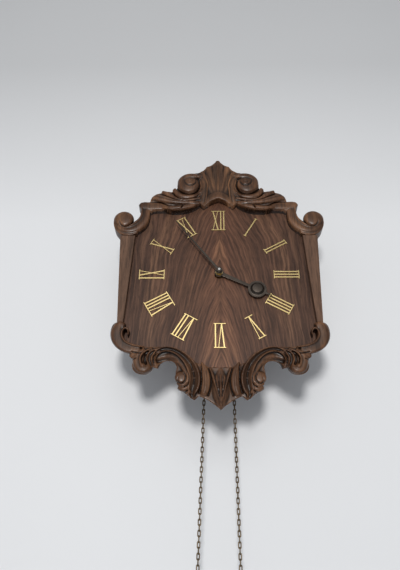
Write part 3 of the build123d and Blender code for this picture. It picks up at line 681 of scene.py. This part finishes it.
def addLink(work, place, along, turn):
    up = along.normalized()
    side = up.orthogonal().normalized()
    side.rotate(Matrix.Rotation(turn, 3, up))
    pose = Matrix((side, up.cross(side), up)).transposed()
    line = linkRing()
    rings = []
    for k, point in enumerate(line):
        ahead = (line[(k + 1) % len(line)] - line[k - 1]).normalized()
        out = ahead.cross(Vector((0, 1, 0)))
        ring = []
        for j in range(chain["sides"]):
            angle = 2 * math.pi * j / chain["sides"]
            spot = point + (out * math.cos(angle) + Vector((0, 1, 0)) * math.sin(angle)) * chain["wire"] / 2
            ring.append(work.verts.new(place + pose @ spot))
        rings.append(ring)
    for k, ring in enumerate(rings):
        other = rings[(k + 1) % len(rings)]
        for j in range(chain["sides"]):
            work.faces.new((ring[j], other[j], other[(j + 1) % chain["sides"]],
                            ring[(j + 1) % chain["sides"]]))


def chainOf(name, node, points):
    # links threaded at even steps along the polyline of points, every second one a quarter turn round
    random.seed(name)
    points = [Vector(point) for point in points]
    steps = [(after - before).length for before, after in zip(points, points[1:])]
    count = int((sum(steps) - chain["wire"]) / chain["pitch"])
    spare = sum(steps) - count * chain["pitch"]
    work = bmesh.new()
    for k in range(count):
        reach = spare / 2 + (k + 0.5) * chain["pitch"]
        part = 0
        while part < len(steps) - 1 and reach > steps[part]:
            reach -= steps[part]
            part += 1
        along = points[part + 1] - points[part]
        turn = math.radians(45 + 90 * (k % 2) + random.uniform(-chain["twist"], chain["twist"]))
        addLink(work, points[part] + along * (reach / steps[part]), along, turn)
    bmesh.ops.recalc_face_normals(work, faces=work.faces)
    piece = meshObject(name, work)
    activate(piece)
    bpy.ops.object.shade_smooth()
    finishPiece(piece, "chainBrass", "case", [node])
    return piece, sum(steps)


for strandName, node, endPiece in (
    ("chainWeightSide", "chain_weight_side", "weight_hook"),
    ("chainPullSide", "chain_pull_side", "pull_ring"),
):
    route = strands[strandName]
    strand, length = chainOf(strandName, node, route)
arc = [
    (sprocket["x"] - sprocket["radius"] * math.cos(turn), sprocket["y"],
     sprocket["z"] + sprocket["radius"] * math.sin(turn))
    for turn in (math.pi * k / 24 for k in range(25))
]
chainOf("chainOverWheel", "chain_over_wheel",
        [strands["chainWeightSide"][0], *arc, strands["chainPullSide"][0]])
print("chains threaded")


# crest carving, left side; points are x, z, half width, height
crest = {
    "ground": 8.4,
    "groundLean": 0.0,
    "foot": 3.0,
    "lean": 0.30,
    "lift": 1.4,
    "opening": [(-106, 0), (-106, 60), (-100, 65), (-95.5, 70), (-92, 77), (-90.6, 84), (-90.6, 93),
                (-86, 96), (-72, 96.4), (-64, 96), (-58, 94.6), (-50, 94.4), (-40, 97), (-33.5, 100.6),
                (-28, 105), (-24.6, 107), (-19, 101.4), (-16.8, 104.6), (-12.6, 111.4), (-7, 114.6),
                (0.5, 115.6), (0.5, 0)],
    "voxel": 0.75,
    "smoothing": 3,
    "bands": [
        ("plate", "soft", [(-66, 97.4, 4, 9.4), (-78, 99.6, 6.4, 9.8), (-91, 100, 7, 10),
                           (-99.6, 101.5, 6.4, 10.2), (-104.5, 103.2, 3, 10)]),
        ("cornerBand", "rightRim", [
            (-98, 103, 5.5, 10), (-95.4, 93, 7.4, 10.8), (-95.8, 82, 7.8, 11.4), (-100, 71.6, 8.2, 11.6),
            (-109, 63.6, 7.6, 11.8), (-119.5, 61, 6.4, 11.6), (-128.5, 64.6, 5.4, 11.2),
            (-133, 72, 3.8, 10.8), (-133.4, 79, 2, 10.4),
        ]),
        ("outerC", "rightRim", [
            (-27.5, 153.4, 2.4, 10.4), (-21.4, 147, 4.6, 11), (-18.6, 138, 5, 11.4), (-18.8, 128, 5, 11.4),
            (-19.6, 117, 5, 11), (-20.6, 107, 4.4, 10), (-19.6, 101, 2.4, 8.8),
        ][::-1]),
        ("snailTop", "round", [(-24, 150, 3, 11), (-32, 151.6, 5.8, 12.2), (-42, 150.4, 6.6, 12.4),
                               (-49, 144, 6.4, 12.2), (-50.4, 136, 4.6, 12)]),
        ("innerLeaf", "round", [(-20.5, 127, 2.6, 10), (-27, 118.6, 3.6, 10.6), (-38, 116, 4, 11),
                                (-49, 117, 4.6, 11), (-56.4, 122.4, 4.4, 10.4), (-59.4, 129, 1.8, 8.6)]),
        ("backLeaf", "round", [(-24, 113, 2.6, 10.6), (-38, 110.4, 3, 11.2), (-52, 111, 3.6, 11),
                               (-63, 117, 4.4, 10.4), (-71, 122.4, 3.6, 10), (-76, 125.6, 1.4, 9)]),
        ("outerLeaf", "round", [(-26, 106, 3, 10), (-40, 105.8, 4, 11.4), (-56, 106.8, 5, 12),
                                (-70, 110.4, 6.6, 12.2), (-81, 113.4, 7, 12), (-88.2, 112.6, 4, 10.6)]),
        ("rolledEdge", "round", [(-25, 104.4, 2, 10.4), (-34, 100.4, 4.2, 12.2), (-45, 97.2, 5.2, 13),
                                 (-56, 95.8, 5.2, 13), (-66, 96, 4.2, 12.4), (-74, 97.6, 2, 10.6)]),
        ("shellNear", "round", [(-3.5, 119, 3, 9), (-7.6, 145, 5.2, 10), (-11, 161, 5.6, 10.4),
                                (-13, 169.6, 3, 9.4)]),
        ("shellFar", "round", [(-7, 119, 3, 9), (-14.4, 140, 5, 9.8), (-19.6, 153, 5.6, 10.2),
                               (-23.4, 160, 3, 9.2)]),
    ],
    "middle": [
        ("shellBody", "soft", [(0, 112, 12, 8.6), (0, 140, 20, 9), (0, 156, 17, 9.4), (0, 168, 10, 9.4),
                               (0, 176, 4, 9)]),
        ("shellCentre", "leaf", [(0, 118, 4, 9), (0, 148, 6.4, 10.4), (0, 168, 6.4, 10.8),
                                 (0, 177.6, 2.8, 9.6)]),
        ("visor", "hood", [(-18.8, 98.5, 1.6, 8.4), (-16.8, 106, 4.4, 10), (-10.8, 114.4, 7, 11),
                           (0, 119.6, 8, 11.8), (10.8, 114.4, 7, 11), (16.8, 106, 4.4, 10),
                           (18.8, 98.5, 1.6, 8.4)]),
    ],
    "bosses": [(-40, 136.6, 14.8, 12.8), (-38.6, 142.8, 5.4, 13.1), (-124.2, 78.4, 12.8, 12.4)],
    "grooves": [
        [(-28, 150, 0.8, 0.5), (-26, 142, 1.2, 3.4), (-25.4, 134, 1.3, 4), (-28.6, 126, 1.4, 4),
         (-36, 121.4, 1.4, 4), (-45, 122, 1.4, 4), (-53, 127.6, 1.3, 3.4), (-57, 132.6, 1, 2)],
        [(-30.4, 147, 1, 0.2), (-30.6, 139.6, 1.8, 1.2), (-34.8, 134.8, 2, 1.5), (-41, 135, 2, 1.4),
         (-45, 139.4, 1.8, 1), (-45.6, 145, 1.2, 0.2)],
        [(-24, 122.6, 1, 1.4), (-30, 115.4, 1.2, 3), (-40, 112.2, 1.2, 3.2), (-50, 112.6, 1.2, 3.4),
         (-57, 117, 1.3, 3.6), (-61.4, 123.4, 1.3, 3)],
        [(-30, 109.4, 0.9, 1), (-44, 108.6, 1, 1.6), (-58, 111.4, 1, 2), (-68, 116.6, 1.1, 2.4),
         (-77, 121.8, 1.2, 2.4)],
        [(-27, 103.8, 0.9, 0.8), (-40, 102.4, 1, 1.6), (-54, 101.4, 1.1, 2.2), (-66, 101.6, 1.2, 2.6),
         (-77, 106.4, 1.2, 3), (-90, 107, 1.2, 2.6)],
        [(-111.4, 75.6, 1.3, 3), (-114, 70.2, 1.3, 3.6), (-119, 67, 1.3, 3.4), (-124.4, 67.4, 1.2, 2.8),
         (-128.4, 71, 1, 1.6), (-129.6, 75, 0.8, 0.3)],
        [(-45.8, 101.6, 1.4, 2), (-47.6, 98.8, 1.6, 4.6), (-48.8, 95.4, 1.1, 1.6)],
        [(-67, 93.6, 1.3, 3.4), (-65.4, 91.6, 1.3, 4)],
        [(-50, 93, 2.2, 1), (-58, 92.2, 2.2, 1)],
        [(-5, 134, 0.9, 0.3), (-7, 150, 1, 0.6), (-7.6, 164, 1, 0.8), (-7.4, 174, 0.9, 0.8)],
        [(-10, 132, 0.9, 0.3), (-14.4, 146, 1, 0.6), (-17, 157, 1, 0.8), (-17.6, 165, 0.9, 0.8)],
        [(-60, 108, 1.2, 0.6), (-72, 112.6, 1.4, 1), (-84, 116.4, 1.3, 0.9)],
    ],
}
base = {
    "ground": 6.4,
    "groundLean": 0.36,
    "foot": -6.0,
    "lean": 0.36,
    "lift": 0.0,
    "opening": [(0.5, -40), (-107, -66), (-112.6, -79), (-113.4, -86), (-111, -94), (-105, -99),
                (-95, -101.6), (-84, -102.4), (-70, -102.6), (-57.5, -104.6), (-47.5, -108.8),
                (-37.5, -115.4), (-31, -120.8), (-24.6, -124), (-19, -124.6), (-13, -128), (0.5, -128)],
    "voxel": 0.75,
    "smoothing": 3,
    "bands": [
        ("hook", "soft", [
            (-112.4, -77.6, 4, 10.6), (-117.4, -76, 5.6, 11.2), (-120.6, -84, 6.6, 11.4),
            (-118.4, -93.6, 7.2, 11.2), (-111.6, -101.6, 7, 11), (-102, -106.4, 5.8, 10.8),
            (-92, -107.4, 4, 10.2),
        ]),
        ("hookBead", "round", [
            (-107.2, -88.6, 0.9, 9), (-106.8, -82.6, 1.4, 11), (-110, -79.4, 1.5, 12),
            (-113.4, -83, 1.5, 12.2), (-113.2, -90, 1.5, 12.4), (-108.6, -97, 1.5, 12.4),
            (-100, -101.2, 1.5, 12.2), (-88, -103.4, 1.3, 12),
        ]),
        ("smallLobe", "round", [(-90, -109, 3, 10), (-98, -112.6, 4.4, 10.4), (-102.4, -116, 2.8, 9.2)]),
        ("bigLobe", "round", [
            (-86, -107, 3.4, 10.4), (-94, -113, 4.6, 11), (-94.6, -121.4, 5.2, 11.4),
            (-91, -129, 5.8, 11.6), (-85, -130.6, 5.6, 11.6), (-80.4, -127, 4, 11),
        ]),
        ("lobeRidge", "round", [(-78, -105.4, 1.2, 11), (-86, -109.2, 1.4, 12), (-90.4, -115.6, 1.4, 12.4),
                                (-90, -122.4, 1.4, 12.6), (-87.6, -127.4, 1.6, 12.8),
                                (-85, -126.6, 1.2, 12.4)]),
        ("crescent", "cove", [(-77.4, -127.4, 2, 9), (-80.6, -118.6, 3.6, 10.4), (-78, -111.4, 3.4, 11),
                              (-69, -106.8, 2.4, 11)]),
        ("cusp", "round", [(-75.5, -119, 1.8, 8.5), (-73.8, -124, 2, 8), (-71.7, -128.8, 1.3, 7)]),
        ("longScroll", "cove", [
            (-75.4, -119.6, 2, 10.4), (-73.4, -112.2, 3, 11.4), (-66.6, -107, 3.2, 12.2),
            (-57.4, -106.4, 3.4, 12.6), (-47.8, -110.2, 4, 12.8), (-39, -117.6, 5.2, 12.8),
            (-32.4, -127.6, 6.2, 12.8), (-29.2, -139, 6.8, 12.8), (-29.8, -150, 6.6, 12.2),
            (-32, -158.6, 4.6, 11), (-30.6, -164.6, 1.6, 9),
        ]),
        ("archLeaf", "soft", [(-71.6, -121, 1.6, 4), (-67.6, -115.4, 3.4, 5.4), (-59, -114.2, 4.6, 7),
                              (-50.6, -117.2, 4.8, 8), (-43.6, -123.6, 4, 8.8), (-39.4, -132, 3.2, 9.6),
                              (-38, -139, 2.4, 10)]),
        ("eye", "round", [(-40.8, -131, 1.6, 9.8), (-36.8, -138, 1.9, 10.8), (-38, -145.8, 2, 11.2),
                          (-43, -149.2, 2, 11), (-48, -147, 1.8, 10)]),
        ("underLobe", "round", [(-34, -149, 3.4, 11), (-41, -153.4, 4.2, 11), (-47, -151.4, 2.6, 9.6)]),
        ("underLeaf", "round", [(-33, -156, 3.8, 10.4), (-38.4, -157.8, 2.6, 9.6)]),
        ("sideLeaf", "leaf", [(-21.4, -122, 1.6, 8.4), (-18.4, -131, 4.2, 9.8), (-16.4, -142, 5.2, 10.2),
                              (-17, -153, 4.8, 9.8), (-19.4, -160.4, 3, 8.8)]),
        ("dropVein", "round", [(-1, -167, 1.2, 10.8), (-4.4, -154, 1.6, 11), (-8.2, -140, 1.9, 10),
                               (-12.2, -128.4, 1.2, 8.4)]),
        ("dropVeinInner", "round", [(-0.7, -160, 1.1, 11), (-3.2, -149, 1.5, 10.8),
                                    (-4.6, -138, 1.3, 9.2)]),
    ],
    "middle": [
        ("drop", "round", [(0, -130, 3, 6.8), (0, -141, 9, 8.6), (0, -153, 11, 9.6), (0, -165, 8.6, 9.8),
                           (0, -177, 1.4, 9)]),
        ("dropRidge", "round", [(0, -137, 0.9, 9.4), (0, -152, 1.3, 11.2), (0, -167, 1.3, 11.4),
                                (0, -176, 0.8, 9.6)]),
    ],
    "bosses": [(-43.6, -140.6, 7.6, 10), (-87, -126.6, 3, 12.9)],
    "grooves": [
        [(-110.4, -89.6, 0.9, 2), (-110.2, -84.4, 1.1, 4), (-109.8, -82, 0.8, 2.4)],
        [(-101, -108.6, 1, 1.6), (-96, -110, 1, 2), (-90, -110.6, 0.9, 1.4)],
        [(-100.6, -119, 1, 2.4), (-95.6, -117, 1, 1.8)],
        [(-85.2, -111.6, 1.2, 2.4), (-85.8, -118, 1.6, 3.6), (-83.8, -123.6, 1.4, 3)],
        [(-84.6, -115.4, 1.3, 3)],
        [(-74.8, -121, 1, 1.6), (-76.2, -115, 1, 2.4), (-73, -109.6, 1, 1.8)],
        [(-21.6, -124, 1, 2.4), (-21.4, -133, 1.1, 3.4), (-21.2, -145, 1.2, 3.8), (-23.8, -156, 1.2, 3.6)],
        [(-13.6, -127, 0.9, 2), (-10.8, -137, 1.1, 3.2), (-10.8, -148, 1.1, 3.4), (-13.8, -159, 1.1, 3)],
        [(-33.4, -124, 1.6, 0.6), (-31.4, -130, 1.6, 1.2)],
        [(-30.2, -134, 1.6, 1.2), (-29.4, -138, 1.6, 0.8)],
        [(-29.2, -142, 1.6, 1.2), (-29.6, -146, 1.6, 0.8)],
        [(-36.2, -134, 0.8, 0.8), (-34.8, -141, 0.9, 2.4), (-36, -148, 1, 3), (-40, -150.6, 1, 2.6)],
        [(-41, -134.2, 0.8, 0.6), (-38.8, -139, 1, 1.8), (-40, -144.2, 1, 2), (-44, -146.2, 1, 1.8),
         (-47.6, -143.4, 0.9, 1.2), (-47, -139.4, 0.8, 0.5)],
        [(-70, -119, 3.4, 3), (-64, -117, 3.6, 2.8), (-56, -116.6, 3, 1.6), (-50, -118.6, 2.4, 0.4)],
        [(-36, -154.6, 0.9, 2.2), (-41, -157, 0.9, 1.6)],
        [(-2.2, -144, 0.7, 1.2), (-1.8, -154, 0.8, 1.6), (-0.6, -163, 0.6, 0.6)],
        [(-6.4, -140, 0.8, 1.2), (-3.9, -151, 0.9, 1.8), (-1.4, -162, 0.7, 0.8)],
    ],
}


def raised(route, lift):
    return [(point[0], point[1] + lift, *point[2:]) for point in route]


def carving(name, node, plan):
    lean = plan["lean"]
    lift = plan["lift"]
    solids = [groundBlock(node, plan["ground"], plan["groundLean"])]
    for side in (1, -1):
        for bandName, section, route in plan["bands"]:
            solids.append(bandSolid(bandName, raised(route, lift), section, plan["foot"], side, lean))
        for x, z, radius, high in plan["bosses"]:
            solids.append(domeSolid("boss", x, z + lift, radius, high, plan["foot"], side, lean))
    for bandName, section, route in plan["middle"]:
        solids.append(bandSolid(bandName, raised(route, lift), section, plan["foot"], 1, lean))
    piece = fuse(name, solids, plan["voxel"] * mm, plan["smoothing"])
    pressGrooves(piece, [raised(route, lift) for route in plan["grooves"]])
    sinkOpening(piece, plan["opening"], plan["ground"], plan["groundLean"])
    paintShadeAttribute(piece)
    finishPiece(piece, "carvedOak", "case", [node])
    print(name, sum(len(face.vertices) - 2 for face in piece.data.polygons), "triangles")
    return piece


carving("crestCarving", "crest_carving", crest)
carving("baseCarving", "base_carving", base)


# worked copies of the CAD pieces: edges broken with a small bevel
def refined(name, node, finish, width, body="case", corner=28, loops=2):
    activate(bpy.data.objects[node])
    bpy.ops.object.duplicate()
    piece = bpy.context.object
    piece.name = name
    piece.data.name = name
    bpy.ops.object.mode_set(mode="EDIT")
    bpy.ops.mesh.select_all(action="SELECT")
    bpy.ops.mesh.remove_doubles(threshold=1e-6)
    bpy.ops.mesh.dissolve_limited(angle_limit=math.radians(0.6))
    bpy.ops.mesh.select_all(action="SELECT")
    bpy.ops.mesh.normals_make_consistent(inside=False)
    bpy.ops.object.mode_set(mode="OBJECT")
    edge = piece.modifiers.new("edge", "BEVEL")
    edge.width = width * mm
    edge.segments = loops
    edge.limit_method = "ANGLE"
    edge.angle_limit = math.radians(corner)
    edge.use_clamp_overlap = True
    edge.harden_normals = False
    applyAll(piece)
    bpy.ops.object.shade_smooth_by_angle(angle=math.radians(18))
    finishPiece(piece, finish, body, [node])
    return piece


worked = [
    ("dialPanel", "dial_panel", "dialVeneer", 0.5, "case", "dial_veneer"),
    ("pilasterLeft", "pilaster_left", "pilasterOak", 0.8, "case", "carved_oak"),
    ("pilasterRight", "pilaster_right", "pilasterOak", 0.8, "case", "carved_oak"),
    ("backBoard", "back_board", "boardUp", 0.6, "case", "case_wood"),
    ("caseTop", "case_top", "boardAcross", 0.7, "case", "case_wood"),
    ("caseBottom", "case_bottom", "boardAcross", 0.7, "case", "case_wood"),
    ("caseSide", "case_side_left", "boardUp", 0.7, "case", "case_wood"),
    ("sideStile", "side_stile", "boardUp", 0.7, "case", "case_wood"),
    ("sideDoor", "side_door", "boardUp", 0.7, "door", "case_wood"),
    ("hangerPlate", "hanger_plate", "steel", 0.2, "case", "steel"),
    ("turnButton", "turn_button", "movementBrass", 0.3, "latch", "movement_brass"),
    ("minuteHand", "minute_hand", "handBronze", 0.22, "minute", "bronzed_steel"),
    ("hourHand", "hour_hand", "handBronze", 0.25, "hour", "bronzed_steel"),
    ("handNut", "hand_nut", "handBronze", 0.3, "minute", "bronzed_steel"),
    ("pendulumBob", "pendulum_bob", "bobBrass", 0.5, "pendulum", "bob_brass"),
]
for pieceName, node, finish, width, body, slotName in worked:
    refined(pieceName, node, finish, width, body)
for hour in range(1, 13):
    refined(f"numeral{hour:02d}", f"numeral_{hour:02d}", "numeralBrass", 0.07, "case",
            loops=1)
print("worked pieces made")


# every CAD node that stays gets its finish from its slot
slotFinish = {
    "dial_veneer": "dialVeneer", "carved_oak": "carvedOak", "case_wood": "boardUp",
    "polished_brass": "numeralBrass",
    "bronzed_steel": "handBronze", "movement_brass": "movementBrass", "antique_brass": "chainBrass",
    "steel": "steel",
    "bob_brass": "bobBrass",
}
acrossBoards = {"case_top", "case_bottom"}
for part in frame["record"]["subparts"]:
    nodeObject = bpy.data.objects[part["node"]]
    finish = slotFinish[part["material_slot"]]
    if part["node"] in acrossBoards:
        finish = "boardAcross"
    nodeObject.data.materials.clear()
    nodeObject.data.materials.append(finishes[finish])
print("finishes given")
